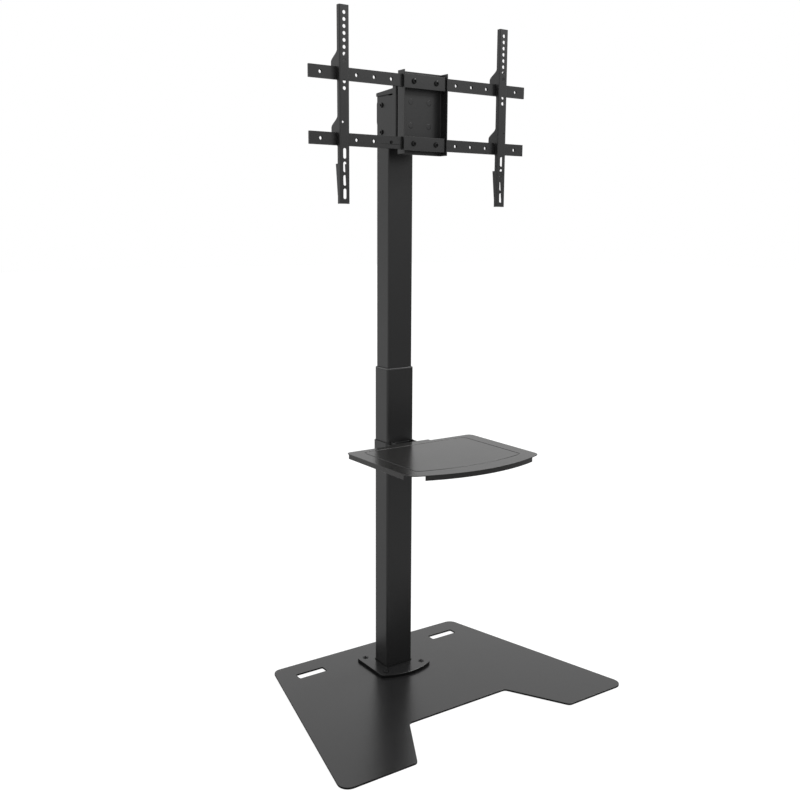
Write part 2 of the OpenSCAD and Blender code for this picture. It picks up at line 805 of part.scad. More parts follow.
// The tail plate of an arm tapers from a step below the bottom rail
tail_drop = 132.5;
tail_foot = 20;
tail_reach = 8.5;
tail_end_reach = 0.5;
function tail_outline() =
    [
        [arm_side_back, mount_z - tail_drop], [arm_side_back - tail_reach, mount_z - tail_drop],
        [arm_side_back - tail_end_reach, mount_z - arm_len / 2 + tail_foot],
        [arm_side_back, mount_z - arm_len / 2 + tail_foot]
    ];

// The round holes of an arm, as heights; a hole that the top rail would cover is left out
function arm_hole_heights() =
    [for (i = [0 : arm_hole_n - 1])
        let (z = mount_z + arm_len / 2 - arm_hole_inset - i * arm_hole_pitch)
            if (abs(z - top_rail_z) > rail_h / 2) z];

// An arm: a channel open to the back, hooked over both rails, with round holes above and slots below
small_hole_r = 2.5;
small_hole_drop = 36.75;
small_hole_x = 5;
slot_r = 4.3;
module arm(side) {
    translate([side * arm_x, 0, 0]) on_column() difference() {
        union() {
            translate([0, -arm_front, mount_z - arm_len / 2])
                linear_extrude(arm_len) channel_section(arm_w, arm_side_d, arm_t, arm_t * bend_share);
            for (x = [-1, 1])
                translate([x * (arm_w - arm_t) / 2, 0, 0]) rotate([90, 0, -90])
                    translate([0, 0, -arm_t / 2]) linear_extrude(arm_t) {
                        polygon(hook_outline(top_rail_z));
                        polygon(hook_outline(bottom_rail_z));
                        polygon(tail_outline());
                    }
        }
        for (z = arm_hole_heights()) translate([0, -arm_front - over, z])
            facing_back() cylinder(r = arm_hole_r, h = arm_t + 2 * over);
        translate([0, -arm_front - over, mount_z - arm_len / 2 + slot_inset])
            for (i = [0 : slot_n - 1]) translate([0, 0, i * slot_pitch])
                facing_back() rotate([0, 0, 90]) slot_cut(slot_len, slot_r, arm_t + 2 * over);
        translate([side * small_hole_x, -arm_front - over, mount_z - small_hole_drop])
            facing_back() cylinder(r = small_hole_r, h = arm_t + 2 * over);
    }
}
module left_arm() { color([0.17, 0.17, 0.17]) arm(-1); }
module right_arm() { color([0.17, 0.17, 0.17]) arm(1); }

base_plate();
floor_pads();
foot_flange();
foot_screws();
lower_column();
guide_collar();
height_lock_screws();
upper_column();
upper_glide();
shelf_collar();
shelf_arms();
shelf_panel();
shelf_screws();
shelf_lock_screws();
head_bracket();
head_channel();
head_cap();
head_screws();
head_spacers();
head_bolts();
head_nuts();
mount_frame();
top_rail();
bottom_rail();
top_strap();
bottom_strap();
strap_bolts();
strap_spacers();
strap_nuts();
left_arm();
right_arm();
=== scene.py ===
"""Looks of a floor stand for a flat screen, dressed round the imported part.

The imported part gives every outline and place; walls, corner radii, screws and nuts repeat the sizes of its
source. Each sub-assembly is a class: it models its tubes, screws, nuts and welds afresh, eases the edges of
its sheet and plate pieces, and gives every piece its finish.
"""

import json
import logging
import math
from collections.abc import Callable
from dataclasses import dataclass, replace
from enum import Enum

import bmesh
import bpy
from mathutils import Matrix, Vector

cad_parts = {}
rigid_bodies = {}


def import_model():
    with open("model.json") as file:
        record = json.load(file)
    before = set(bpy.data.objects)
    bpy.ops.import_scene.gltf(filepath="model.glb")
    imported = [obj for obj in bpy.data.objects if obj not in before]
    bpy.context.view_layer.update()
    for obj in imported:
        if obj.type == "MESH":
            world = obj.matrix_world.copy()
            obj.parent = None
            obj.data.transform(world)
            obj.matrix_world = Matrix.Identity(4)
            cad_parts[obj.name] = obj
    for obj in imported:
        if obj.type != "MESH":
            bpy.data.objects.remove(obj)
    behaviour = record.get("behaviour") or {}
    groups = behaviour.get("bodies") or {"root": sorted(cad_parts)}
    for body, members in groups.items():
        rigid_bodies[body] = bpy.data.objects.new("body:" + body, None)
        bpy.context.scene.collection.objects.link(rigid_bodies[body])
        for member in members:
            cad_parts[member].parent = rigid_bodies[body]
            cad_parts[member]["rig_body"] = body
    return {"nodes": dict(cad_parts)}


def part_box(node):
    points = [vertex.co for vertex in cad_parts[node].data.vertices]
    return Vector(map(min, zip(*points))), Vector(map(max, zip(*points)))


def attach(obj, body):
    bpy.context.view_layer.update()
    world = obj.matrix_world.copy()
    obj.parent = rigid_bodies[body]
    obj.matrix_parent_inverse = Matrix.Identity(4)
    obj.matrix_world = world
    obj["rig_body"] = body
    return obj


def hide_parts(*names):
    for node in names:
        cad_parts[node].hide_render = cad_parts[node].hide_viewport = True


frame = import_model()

log = logging.getLogger("stand")
MM = 0.001
# A place, a direction or a colour.
Triple = tuple[float, float, float]
# Width and height of the photograph, in pixels.
PHOTO_SIDE = 800
# Two directions count as parallel where the cosine of the angle between them is above this.
PARALLEL = 0.9
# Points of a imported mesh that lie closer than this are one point.
SAME_POINT = 0.01 * MM
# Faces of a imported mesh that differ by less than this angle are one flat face.
SAME_FLAT = math.radians(0.5)
# Middle of what a noise texture gives.
NOISE_MIDDLE = 0.5


class Side(Enum):
    """Left or right of the stand, as a sign along X."""

    LEFT = -1
    RIGHT = 1


class Facing(Enum):
    """The way that the head of a screw looks, as a unit vector."""

    FRONT = (0.0, -1.0, 0.0)
    BACK = (0.0, 1.0, 0.0)
    LEFT = (-1.0, 0.0, 0.0)
    RIGHT = (1.0, 0.0, 0.0)
    UP = (0.0, 0.0, 1.0)
    DOWN = (0.0, 0.0, -1.0)

    def axis(self) -> int:
        """Returns the index of the axis that it runs along."""
        return next(i for i, part in enumerate(self.value) if part)


class Part(Enum):
    """The parts of a mesh that can be picked."""

    FACE = "FACE"
    EDGE = "EDGE"


class Cut(Enum):
    """What is left of a piece where another solid meets it."""

    SHARED = "INTERSECT"
    REST = "DIFFERENCE"


def choose_only(obj: bpy.types.Object) -> None:
    """Selects one object alone and makes it active.

    Args:
        obj: The object.
    """
    bpy.ops.object.select_all(action="DESELECT")
    obj.select_set(True)
    bpy.context.view_layer.objects.active = obj


def settle(obj: bpy.types.Object) -> None:
    """Moves an object's place into its mesh, so that the object sits at the origin."""
    choose_only(obj)
    bpy.ops.object.transform_apply(location=True, rotation=True, scale=True)


def cylinder(sides: int, radius: float, depth: float, middle: float) -> bpy.types.Object:
    """Adds an upright cylinder or prism on the Z axis, as a blank to model from.

    Args:
        sides: Number of its sides.
        radius: Radius over its corners.
        depth: Its height.
        middle: Height of its middle above the origin.

    Returns:
        The blank.
    """
    bpy.ops.object.select_all(action="DESELECT")
    bpy.ops.mesh.primitive_cylinder_add(vertices=sides, radius=radius, depth=depth, location=(0, 0, middle))
    blank = bpy.context.active_object
    settle(blank)
    return blank


def is_level(face: bmesh.types.BMFace) -> bool:
    """Tells whether a face looks up or down."""
    return abs(face.normal.z) > PARALLEL


def is_upright(edge: bmesh.types.BMEdge) -> bool:
    """Tells whether an edge runs up and down."""
    first, second = edge.verts
    return abs((first.co - second.co).normalized().z) > PARALLEL


def pick(obj: bpy.types.Object, kind: Part,
         wanted: Callable[[bmesh.types.BMFace | bmesh.types.BMEdge], bool]) -> None:
    """Selects, in edit mode, only the faces or edges that pass a test.

    Args:
        obj: The object in edit mode.
        kind: What is selected.
        wanted: Test of a face or edge by its place, direction or neighbours.
    """
    mesh = bmesh.from_edit_mesh(obj.data)
    bpy.ops.mesh.select_all(action="DESELECT")
    bpy.ops.mesh.select_mode(type=kind.value)
    parts = mesh.faces if kind is Part.FACE else mesh.edges
    for part in [part for part in parts if wanted(part)]:
        part.select_set(True)
    bmesh.update_edit_mesh(obj.data)


def bore_through(blank: bpy.types.Object, wall: float) -> None:
    """Bores a blank through from end to end and leaves edit mode.

    Args:
        blank: The upright blank, in edit mode.
        wall: Thickness of the wall that stays.
    """
    pick(blank, Part.FACE, is_level)
    bpy.ops.mesh.inset(thickness=wall)
    bpy.ops.mesh.delete(type="FACE")
    pick(blank, Part.EDGE, lambda edge: edge.is_boundary)
    bpy.ops.mesh.bridge_edge_loops()
    bpy.ops.mesh.select_all(action="SELECT")
    bpy.ops.mesh.normals_make_consistent(inside=False)
    bpy.ops.object.mode_set(mode="OBJECT")


def combine(piece: bpy.types.Object, other: bpy.types.Object, cut: Cut) -> None:
    """Cuts a piece with another solid, which is used up.

    Args:
        piece: The piece.
        other: The other solid.
        cut: What is left of the piece.
    """
    choose_only(piece)
    step = piece.modifiers.new("combine", "BOOLEAN")
    step.operation = cut.value
    step.solver = "EXACT"
    step.object = other
    bpy.ops.object.modifier_apply(modifier=step.name)
    bpy.data.objects.remove(other, do_unlink=True)


def smooth(obj: bpy.types.Object, angle: float = 35.0) -> None:
    """Shades a piece smooth with its flat faces kept flat.

    Args:
        obj: The piece.
        angle: Edges that turn by more than this many degrees stay sharp.
    """
    choose_only(obj)
    bpy.ops.object.shade_smooth_by_angle(angle=math.radians(angle))
    weigh = obj.modifiers.new("flat faces stay flat", "WEIGHTED_NORMAL")
    weigh.mode = "FACE_AREA"
    weigh.weight = 100
    weigh.keep_sharp = True
    bpy.ops.object.modifier_apply(modifier=weigh.name)


def bevel_sharp_edges(obj: bpy.types.Object, width: float, segments: int, angle: float = 50.0) -> None:
    """Rounds the sharp edges of a piece with an applied Bevel modifier.

    Args:
        obj: The piece.
        width: Width of the bevel in metres.
        segments: Number of strips across the bevel.
        angle: Edges that turn by more than this many degrees count as sharp.
    """
    choose_only(obj)
    bevel = obj.modifiers.new("eased edges", "BEVEL")
    bevel.width = width
    bevel.segments = segments
    bevel.limit_method = "ANGLE"
    bevel.angle_limit = math.radians(angle)
    bevel.use_clamp_overlap = False
    bevel.miter_outer = "MITER_ARC"
    bpy.ops.object.modifier_apply(modifier=bevel.name)
    smooth(obj)


def eased_copy(node: str, width: float, segments: int = 2) -> bpy.types.Object:
    """Copies a node's mesh, merges its loose triangles and rounds its sharp edges.

    Args:
        node: Name of the node.
        width: Width of the rounding in metres.
        segments: Number of strips across the rounding.

    Returns:
        The new piece.
    """
    source = frame["nodes"][node]
    obj = bpy.data.objects.new(f"{node}_finished", source.data.copy())
    bpy.context.scene.collection.objects.link(obj)
    obj.data.materials.clear()
    choose_only(obj)
    if obj.data.has_custom_normals:
        bpy.ops.mesh.customdata_custom_splitnormals_clear()
    bpy.ops.object.mode_set(mode="EDIT")
    bpy.ops.mesh.select_all(action="SELECT")
    bpy.ops.mesh.remove_doubles(threshold=SAME_POINT)
    bpy.ops.mesh.dissolve_limited(angle_limit=SAME_FLAT)
    bpy.ops.object.mode_set(mode="OBJECT")
    bevel_sharp_edges(obj, width, segments)
    return obj


def copies_at(first: bpy.types.Object, name: str, turns: list[Matrix]) -> bpy.types.Object:
    """Copies a modelled piece to its places, each with its own mesh, and joins the copies.

    Args:
        first: The piece, modelled at the origin; it is used up.
        name: Name of the joined piece.
        turns: Place and turn of each copy.

    Returns:
        The joined piece.
    """
    made = []
    for turn in turns:
        copy = first.copy()
        copy.data = first.data.copy()
        bpy.context.scene.collection.objects.link(copy)
        copy.matrix_world = turn
        made.append(copy)
    bpy.data.objects.remove(first, do_unlink=True)
    return joined(name, made)


def joined(name: str, parts: list[bpy.types.Object]) -> bpy.types.Object:
    """Joins pieces into one that sits at the origin.

    Args:
        name: Name of the joined piece.
        parts: The pieces; they are used up.

    Returns:
        The joined piece.
    """
    bpy.ops.object.select_all(action="DESELECT")
    for part in parts:
        part.select_set(True)
    bpy.context.view_layer.objects.active = parts[0]
    if len(parts) > 1:
        bpy.ops.object.join()
    whole = bpy.context.active_object
    whole.name = name
    settle(whole)
    return whole


def seat_turn(seat: Vector, facing: Facing) -> Matrix:
    """Returns the matrix that stands a screw or nut on its seat, with its top looking the given way."""
    return Matrix.Translation(seat) @ Vector(facing.value).to_track_quat("Z", "Y").to_matrix().to_4x4()


def body_of(node: str) -> str:
    """Returns the name of the body that a node rides on."""
    return frame["nodes"][node]["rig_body"]


def adopt(obj: bpy.types.Object, node: str, finish: bpy.types.Material, hides: bool = True) -> None:
    """Gives a new piece its finish, its body and the node that it stands for.

    Args:
        obj: The new piece.
        node: The node whose body it takes.
        finish: Its material.
        hides: Whether the piece takes the place of the node, which is then hidden.
    """
    obj.data.materials.clear()
    obj.data.materials.append(finish)
    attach(obj, body_of(node))
    if hides:
        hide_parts(node)
    log.info("%s rides on %s, %d faces", obj.name, body_of(node), len(obj.data.polygons))


def calculate(tree: bpy.types.NodeTree, operation: str,
              *values: bpy.types.NodeSocket | float) -> bpy.types.NodeSocket:
    """Adds a node that works out a value from others.

    Args:
        tree: The tree that gets the node.
        operation: Name of the calculation.
        *values: What goes in, each an output of another node or a number.

    Returns:
        The result.
    """
    node = tree.nodes.new("ShaderNodeMath")
    node.operation = operation
    for entry, value in zip(node.inputs, values):
        if isinstance(value, bpy.types.NodeSocket):
            tree.links.new(value, entry)
        else:
            entry.default_value = value
    return node.outputs[0]


@dataclass(frozen=True)
class CoatGrain:
    """The grain that all finishes share: mottled tone, uneven roughness and a fine bumpy height.

    Attributes:
        fine_detail: Number of layers of the fine noise, which gives the height.
        fine_rough: Strength of each finer layer against the one before it.
        broad_scale: Patches per metre of the broad noise, which gives tone and roughness.
        broad_detail: Number of layers of the broad noise.
    """

    fine_detail: float = 3.0
    fine_rough: float = 0.6
    broad_scale: float = 14.0
    broad_detail: float = 4.0

    def build(self) -> bpy.types.NodeTree:
        """Builds the group.

        Returns:
            A shader node group with a colour, a roughness and a height output.
        """
        tree = bpy.data.node_groups.new("coat grain", "ShaderNodeTree")
        entries = {"INPUT": ("Colour", "Roughness", "Grain per metre", "Mottle", "Unevenness"),
                   "OUTPUT": ("Colour", "Roughness", "Height")}
        for way, names in entries.items():
            for name in names:
                kind = "NodeSocketColor" if name == "Colour" else "NodeSocketFloat"
                tree.interface.new_socket(name, in_out=way, socket_type=kind)
        nodes, links = tree.nodes, tree.links
        inside, outside = nodes.new("NodeGroupInput"), nodes.new("NodeGroupOutput")
        place = nodes.new("ShaderNodeTexCoord")
        fine, broad = nodes.new("ShaderNodeTexNoise"), nodes.new("ShaderNodeTexNoise")
        fine.inputs["Detail"].default_value = self.fine_detail
        fine.inputs["Roughness"].default_value = self.fine_rough
        broad.inputs["Scale"].default_value = self.broad_scale
        broad.inputs["Detail"].default_value = self.broad_detail
        for noise in (fine, broad):
            links.new(place.outputs["Object"], noise.inputs["Vector"])
        links.new(inside.outputs["Grain per metre"], fine.inputs["Scale"])
        tone = calculate(tree, "SUBTRACT", broad.outputs["Fac"], NOISE_MIDDLE)
        shade = nodes.new("ShaderNodeVectorMath")
        shade.operation = "SCALE"
        links.new(inside.outputs["Colour"], shade.inputs[0])
        mottle = calculate(tree, "MULTIPLY_ADD", tone, inside.outputs["Mottle"], 1.0)
        links.new(mottle, shade.inputs["Scale"])
        uneven = calculate(tree, "MULTIPLY_ADD", tone, inside.outputs["Unevenness"],
                           inside.outputs["Roughness"])
        links.new(shade.outputs[0], outside.inputs["Colour"])
        links.new(uneven, outside.inputs["Roughness"])
        links.new(fine.outputs["Fac"], outside.inputs["Height"])
        return tree


@dataclass(frozen=True)
class Finish:
    """A surface finish made from the shared coat grain.

    Attributes:
        name: Name of the material.
        colour: Linear base colour.
        roughness: Mean roughness.
        metallic: Share of metal.
        specular: Specular level.
        grain: Grains per metre; the coats of plates and the plastics are finer than the rest.
        bump: Height of the grain in metres.
        mottle: How much the tone varies over the surface.
        unevenness: How much the roughness varies over the surface.
    """

    name: str
    colour: Triple
    roughness: float
    metallic: float = 0.0
    specular: float = 0.5
    grain: float = 900.0
    bump: float = 0.00006
    mottle: float = 0.15
    unevenness: float = 0.06

    def build(self, group: bpy.types.NodeTree) -> bpy.types.Material:
        """Builds the material.

        Args:
            group: The shared coat grain.

        Returns:
            The finished material.
        """
        material = bpy.data.materials.new(self.name)
        material.use_nodes = True
        nodes, links = material.node_tree.nodes, material.node_tree.links
        shader = nodes["Principled BSDF"]
        shader.inputs["Metallic"].default_value = self.metallic
        shader.inputs["Specular IOR Level"].default_value = self.specular
        grain = nodes.new("ShaderNodeGroup")
        grain.node_tree = group
        values = {"Colour": (*self.colour, 1.0), "Roughness": self.roughness, "Grain per metre": self.grain,
                  "Mottle": self.mottle, "Unevenness": self.unevenness}
        for name, value in values.items():
            grain.inputs[name].default_value = value
        bump = nodes.new("ShaderNodeBump")
        bump.inputs["Distance"].default_value = self.bump
        links.new(grain.outputs["Colour"], shader.inputs["Base Color"])
        links.new(grain.outputs["Roughness"], shader.inputs["Roughness"])
        links.new(grain.outputs["Height"], bump.inputs["Height"])
        links.new(bump.outputs["Normal"], shader.inputs["Normal"])
        return material


COLUMN_COAT = Finish("satin black coat", (0.0075, 0.0075, 0.0078), 0.36)
BASE_COAT = Finish("base black coat", (0.0135, 0.0135, 0.0138), 0.25, grain=1100.0)
SHELF_COAT = Finish("shelf black coat", (0.0215, 0.021, 0.0204), 0.22, specular=0.31, grain=1100.0)
MOUNT_COAT = Finish("mount black coat", (0.015, 0.015, 0.0154), 0.40)
SCREW_BLACK = Finish("black oxide", (0.003, 0.003, 0.003), 0.24, specular=0.25, bump=0.00001)
ZINC = Finish("dark zinc", (0.24, 0.24, 0.25), 0.38, metallic=1.0, bump=0.00002)
MOULDED = Finish("moulded black", (0.012, 0.012, 0.012), 0.42, grain=1500.0)
# Black plastic painted lighter grey: a painted highlight on the guide collar's lip.
LIP_PLASTIC_PAINTED_HIGHLIGHT = Finish("collar plastic", (0.09, 0.09, 0.091), 0.36, grain=1500.0)
# Near-black and dull: the welds' dark colour plus painted shade, and painted shade on plate sides and hole
# walls.
WELD_AND_PAINTED_SHADE_COAT = Finish("weld coat", (0.004, 0.004, 0.004), 0.6, specular=0.12)
PAD_RUBBER = Finish("pad rubber", (0.012, 0.012, 0.012), 0.8)


@dataclass(frozen=True)
class Coats:
    """The built materials.

    Attributes:
        column: Coat of the columns, the head, and the shelf's collar and arms.
        base: Coat of the base plate and the foot flange.
        shelf: Coat of the shelf panel.
        mount: Coat of the screen mount.
        screw: Black screws and their rings.
        zinc: Zinc nuts and spacers.
        plastic: Moulded pieces.
        lip: The guide collar's black plastic, painted lighter grey as a painted highlight.
        weld: Near-black coat: the welds' own dark colour, darkened further as painted shade at their seams,
            and painted shade on the plates' sides and the rails' hole walls.
        rubber: Pads.
    """

    column: bpy.types.Material
    base: bpy.types.Material
    shelf: bpy.types.Material
    mount: bpy.types.Material
    screw: bpy.types.Material
    zinc: bpy.types.Material
    plastic: bpy.types.Material
    lip: bpy.types.Material
    weld: bpy.types.Material
    rubber: bpy.types.Material

    @classmethod
    def build(cls) -> "Coats":
        """Builds every material from its finish.

        Returns:
            The materials.
        """
        group = CoatGrain().build()
        finishes = (COLUMN_COAT, BASE_COAT, SHELF_COAT, MOUNT_COAT, SCREW_BLACK, ZINC, MOULDED, LIP_PLASTIC_PAINTED_HIGHLIGHT,
                    WELD_AND_PAINTED_SHADE_COAT, PAD_RUBBER)
        return cls(*(finish.build(group) for finish in finishes))


@dataclass(frozen=True)
class Tube:
    """A rectangular tube with round corners, standing upright.

    Attributes:
        low: Lower corner of its box.
        high: Upper corner of its box.
        corner_r: Outer corner radius.
        wall: Wall thickness.
        ease: Width of the rounding at its cut ends.
        corner_steps: Number of strips round each corner.
    """

    low: Vector
    high: Vector
    corner_r: float
    wall: float
    ease: float = 0.3 * MM
    corner_steps: int = 10

    def model(self, name: str) -> bpy.types.Object:
        """Models the tube from a block: round corners, inset ends, bridged bore.

        Args:
            name: Name of the piece.

        Returns:
            The tube.
        """
        bpy.ops.object.select_all(action="DESELECT")
        bpy.ops.mesh.primitive_cube_add(size=1.0, location=(self.low + self.high) / 2,
                                        scale=self.high - self.low)
        tube = bpy.context.active_object
        tube.name = name
        settle(tube)
        bpy.ops.object.mode_set(mode="EDIT")
        pick(tube, Part.EDGE, is_upright)
        bpy.ops.mesh.bevel(offset=self.corner_r, segments=self.corner_steps, affect="EDGES")
        bore_through(tube, self.wall)
        bevel_sharp_edges(tube, self.ease, segments=3)
        return tube

    def outline(self, step: float) -> list[tuple[Vector, float]]:
        """Walks round the tube's lower outer edge.

        Args:
            step: Distance between the places.

        Returns:
            Each place with the heading there, in radians.
        """
        mid = (self.low + self.high) / 2
        flat_x = (self.high.x - self.low.x) / 2 - self.corner_r
        flat_y = (self.high.y - self.low.y) / 2 - self.corner_r
        arc = self.corner_r * math.pi / 2
        legs = [flat_x * 2, arc, flat_y * 2, arc] * 2
        places = []
        for i in range(int(sum(legs) / step)):
            rest, leg = i * step, 0
            while rest > legs[leg]:
                rest -= legs[leg]
                leg += 1
            quarter = leg // 2
            along = (flat_x, flat_y)[quarter % 2]
            out = (flat_y, flat_x)[quarter % 2] + self.corner_r
            heading = quarter * math.pi / 2
            ahead = Vector((math.cos(heading), math.sin(heading), 0))
            right = Vector((math.sin(heading), -math.cos(heading), 0))
            if leg % 2 == 0:
                spot = ahead * (rest - along) + right * out
            else:
                turn = rest / self.corner_r
                hub = ahead * along + right * (out - self.corner_r)
                spot = hub + (ahead * math.sin(turn) + right * math.cos(turn)) * self.corner_r
                heading += turn
            places.append((Vector((mid.x, mid.y, self.low.z)) + spot, heading))
        return places


@dataclass(frozen=True)
class WeldBead:
    """A rippled weld, made of one scallop that is copied along a seam.

    Attributes:
        radius: Radius of the bead.
        step: Distance between the ripples.
        squeeze: Length of a ripple along the seam, as a share of its width.
        cut: Normal of the plane that cuts the bead's hidden half away.
    """

    radius: float = 2.2 * MM
    step: float = 1.6 * MM
    squeeze: float = 0.62
    cut: Triple = (0.0, 0.7071, 0.7071)

    def scallop(self) -> bpy.types.Object:
        """Models one ripple of the bead at the origin, with its seam along X.

        Returns:
            The ripple.
        """
        bpy.ops.object.select_all(action="DESELECT")
        bpy.ops.mesh.primitive_uv_sphere_add(segments=14, ring_count=7, radius=self.radius)
        ripple = bpy.context.active_object
        bpy.ops.object.mode_set(mode="EDIT")
        bpy.ops.mesh.select_all(action="SELECT")
        bpy.ops.transform.resize(value=(self.squeeze, 1.0, 1.0))
        bpy.ops.mesh.bisect(plane_co=(0, 0, 0), plane_no=self.cut, clear_inner=True, use_fill=True)
        bpy.ops.object.mode_set(mode="OBJECT")
        bpy.ops.object.shade_smooth_by_angle(angle=math.radians(50))
        return ripple

    def along(self, name: str, places: list[tuple[Vector, float]]) -> bpy.types.Object:
        """Lays the bead round the foot of a standing piece.

        Args:
            name: Name of the bead.
            places: Each place with the heading of the seam.

        Returns:
            The bead.
        """
        flip = Matrix.Rotation(math.pi, 4, "Z")
        turns = [Matrix.Translation(spot) @ Matrix.Rotation(heading, 4, "Z") @ flip
                 for spot, heading in places]
        return copies_at(self.scallop(), name, turns)

    def upright(self, name: str, feet: list[tuple[Vector, float]], height: float) -> bpy.types.Object:
        """Lays beads up vertical seams.

        Args:
            name: Name of the joined beads.
            feet: Lower end of each seam and the way that its bead looks, in radians.
            height: Height of the seams.

        Returns:
            The beads.
        """
        lift = Matrix.Rotation(math.pi / 2, 4, "Y")
        turns = []
        for foot, look in feet:
            for i in range(int(height / self.step)):
                spot = foot + Vector((0, 0, i * self.step))
                turns.append(Matrix.Translation(spot) @ Matrix.Rotation(look, 4, "Z") @ lift)
        return copies_at(self.scallop(), name, turns)


@dataclass(frozen=True)
class ButtonScrew:
    """A button-head screw with a hexagon socket, modelled once and copied to its places.

    Attributes:
        head_r: Radius of the head.
        head_h: Height of the head.
        socket_r: Corner radius of the hexagon socket.
        shank_r: Radius of the shank.
        shank: Length of the shank.
        thread: Length of thread at its end.
        pitch: Height of one thread.
        rim_share: Height of the head's straight rim, as a share of its whole height.
        crown_share: How far the crown draws in, as a share of the head's radius.
        crown_arc: Degrees of arc over which the crown rises.
        crown_steps: Number of strips in the crown.
        root_share: Radius at the root of the thread, as a share of the shank's.
        socket_share: Depth of the socket, as a share of the head's height.
        neck: Least length of plain shank.
    """

    head_r: float
    head_h: float
    socket_r: float
    shank_r: float
    shank: float
    thread: float = 0.0
    pitch: float = 1.25 * MM
    rim_share: float = 0.24
    crown_share: float = 0.47
    crown_arc: float = 69.0
    crown_steps: int = 6
    root_share: float = 0.88
    socket_share: float = 0.6
    neck: float = 0.2 * MM

    def of_length(self, shank: float, thread: float = 0.0) -> "ButtonScrew":
        """Returns the same screw with another shank and thread."""
        return replace(self, shank=shank, thread=thread)

    def model(self) -> bpy.types.Object:
        """Models one screw that stands on z = 0 with its head up.

        Returns:
            The screw.
        """
        rim = self.head_h * self.rim_share
        screw = cylinder(sides=40, radius=self.head_r, depth=rim, middle=rim / 2)
        bpy.ops.object.mode_set(mode="EDIT")
        pick(screw, Part.FACE, lambda face: face.normal.z > PARALLEL)
        self.raise_crown(rim)
        pick(screw, Part.FACE, lambda face: face.normal.z < -PARALLEL)
        bpy.ops.mesh.inset(thickness=self.head_r - self.shank_r)
        self.push_down(max(self.shank - self.thread, self.neck))
        for _ in range(int(self.thread / self.pitch)):
            for growth in (self.root_share, 1 / self.root_share):
                self.push_down(self.pitch / 2)
                bpy.ops.transform.resize(value=(growth, growth, 1))
        bpy.ops.object.mode_set(mode="OBJECT")
        self.cut_socket(screw)
        smooth(screw, angle=30.0)
        return screw

    def raise_crown(self, rim: float) -> None:
        """Draws the chosen top face up and inwards in steps, which make the round crown.

        Args:
            rim: Height at which the crown starts.
        """
        end = math.radians(self.crown_arc)
        reach, level = self.head_r, rim
        for i in range(1, self.crown_steps + 1):
            angle = math.radians(i * self.crown_arc / self.crown_steps)
            next_reach = self.head_r * (1 - self.crown_share * (1 - math.cos(angle)) / (1 - math.cos(end)))
            next_level = rim + (self.head_h - rim) * math.sin(angle) / math.sin(end)
            bpy.ops.mesh.inset(thickness=reach - next_reach, depth=next_level - level)
            reach, level = next_reach, next_level

    def push_down(self, way: float) -> None:
        """Extrudes the chosen end face downwards."""
        sink = {"value": (0, 0, -way), "orient_type": "GLOBAL"}
        bpy.ops.mesh.extrude_region_move(TRANSFORM_OT_translate=sink)

    def cut_socket(self, screw: bpy.types.Object) -> None:
        """Cuts the hexagon socket into the head of the screw."""
        depth = self.head_h * self.socket_share
        combine(screw, cylinder(sides=6, radius=self.socket_r, depth=2 * depth, middle=self.head_h), Cut.REST)

    def fill(self, node: str, seats: dict[Facing, float], finish: bpy.types.Material) -> list[Matrix]:
        """Makes the screws that fill a node's box and stand for the node.

        Args:
            node: Name of the node.
            seats: The ways that heads look, each with the place of the seats along it.
            finish: The material.

        Returns:
            Place and turn of each screw.
        """
        axis = next(iter(seats)).axis()
        turns = []
        for spot in spread(node, 2 * self.head_r, axis):
            for facing, level in seats.items():
                spot[axis] = level
                turns.append(seat_turn(spot, facing))
        adopt(copies_at(self.model(), f"{node}_finished", turns), node, finish)
        return turns


@dataclass(frozen=True)
class Washer:
    """A flat ring with eased edges.

    Attributes:
        bore_r: Inner radius.
        outer_r: Outer radius.
        height: Its height.
        ease_share: Width of its eased edges, as a share of its height.
    """

    bore_r: float
    outer_r: float
    height: float
    ease_share: float = 0.3

    def model(self) -> bpy.types.Object:
        """Models one ring that lies on z = 0.

        Returns:
            The ring.
        """
        ring = cylinder(sides=48, radius=self.outer_r, depth=self.height, middle=self.height / 2)
        bpy.ops.object.mode_set(mode="EDIT")
        bore_through(ring, self.outer_r - self.bore_r)
        bevel_sharp_edges(ring, self.height * self.ease_share, segments=2)
        return ring


@dataclass(frozen=True)
class HexNut:
    """A hexagon nut with chamfered corners and a bore.

    Attributes:
        corner_r: Radius over its corners.
        height: Its height.
        bore_r: Radius of the bore.
        chamfer_share: Height of both chamfers together, as a share of the radius over its corners.
        slope: Width of a chamfer in heights of both.
        blank_share: Radius of the turned blank, as a share of the radius over its corners.
        ease: Width of its eased edges.
    """

    corner_r: float
    height: float
    bore_r: float
    chamfer_share: float = 0.13
    slope: float = 1.6
    blank_share: float = 1.01
    ease: float = 0.15 * MM

    def model(self) -> bpy.types.Object:
        """Models one nut that stands on z = 0.

        Returns:
            The nut.
        """
        nut = cylinder(sides=6, radius=self.corner_r, depth=self.height, middle=self.height / 2)
        combine(nut, self.crown(), Cut.SHARED)
        bore = cylinder(sides=32, radius=self.bore_r, depth=3 * self.height, middle=0.0)
        combine(nut, bore, Cut.REST)
        bevel_sharp_edges(nut, self.ease, segments=2, angle=40.0)
        return nut

    def crown(self) -> bpy.types.Object:
        """Models the turned blank whose chamfers round the nut's corners.

        Returns:
            The blank.
        """
        chamfer = self.corner_r * self.chamfer_share
        blank = cylinder(sides=48, radius=self.corner_r * self.blank_share, depth=self.height - chamfer,
                         middle=self.height / 2)
        bpy.ops.object.mode_set(mode="EDIT")
        pick(blank, Part.FACE, is_level)
        bpy.ops.mesh.inset(thickness=chamfer * self.slope, depth=chamfer / 2)
        bpy.ops.object.mode_set(mode="OBJECT")
        return blank


def dress(widths: dict[str, float], finish: bpy.types.Material, segments: int = 2) -> None:
    """Eases the edges of nodes whose outline stays as imported and gives them their finish.

    Args:
        widths: Width of the eased edge of each node, in metres.
        finish: The finish of all of them.
        segments: Number of strips across the rounding.
    """
    for node, width in widths.items():
        adopt(eased_copy(node, width, segments), node, finish)


